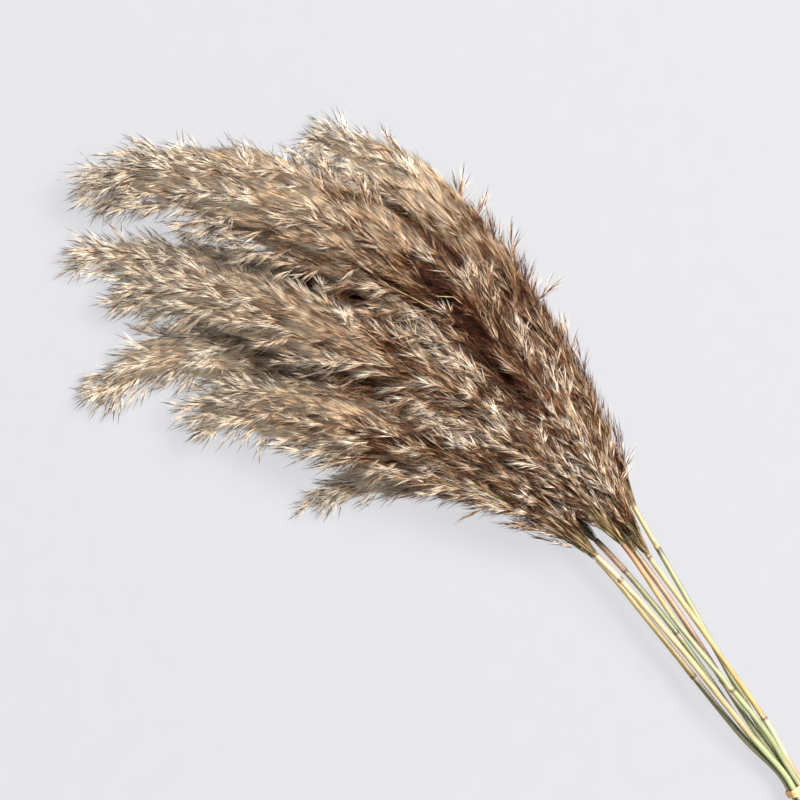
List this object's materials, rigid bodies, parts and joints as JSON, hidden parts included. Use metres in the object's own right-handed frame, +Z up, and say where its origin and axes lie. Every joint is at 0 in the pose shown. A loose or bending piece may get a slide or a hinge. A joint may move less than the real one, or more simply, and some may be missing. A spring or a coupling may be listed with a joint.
{
  "type": "bundle of dried pampas grass",
  "caption": "Bundle of dried pampas grass: feathery plumes on bare hollow culms, bound near the cut ends with raffia and lying on a surface.",
  "frame": {"origin": "on the surface, under the middle of the bundle's box", "axes": "+X along the bundle towards the plume tips, +Y towards the side that the plumes nod to, +Z up from the surface"},
  "size_m": [0.6415, 0.2657, 0.0931],
  "materials": {
    "culm_straw": "smooth dry straw",
    "culm_green": "smooth dry green stem",
    "plume": "matte dry spikelets with silky hairs",
    "raffia": "dry fibre strand"
  },
  "bodies": {
    "root": {"reed_1_culm": "culm_green", "reed_2_culm": "culm_straw", "reed_3_culm": "culm_straw", "reed_4_culm": "culm_straw", "reed_5_culm": "culm_green", "reed_6_culm": "culm_straw", "reed_7_culm": "culm_green", "reed_1_plume": "plume", "reed_2_plume": "plume", "reed_3_plume": "plume", "reed_4_plume": "plume", "reed_5_plume": "plume", "reed_6_plume": "plume", "reed_7_plume": "plume", "raffia_tie": "raffia"}
  },
  "joints": []
}
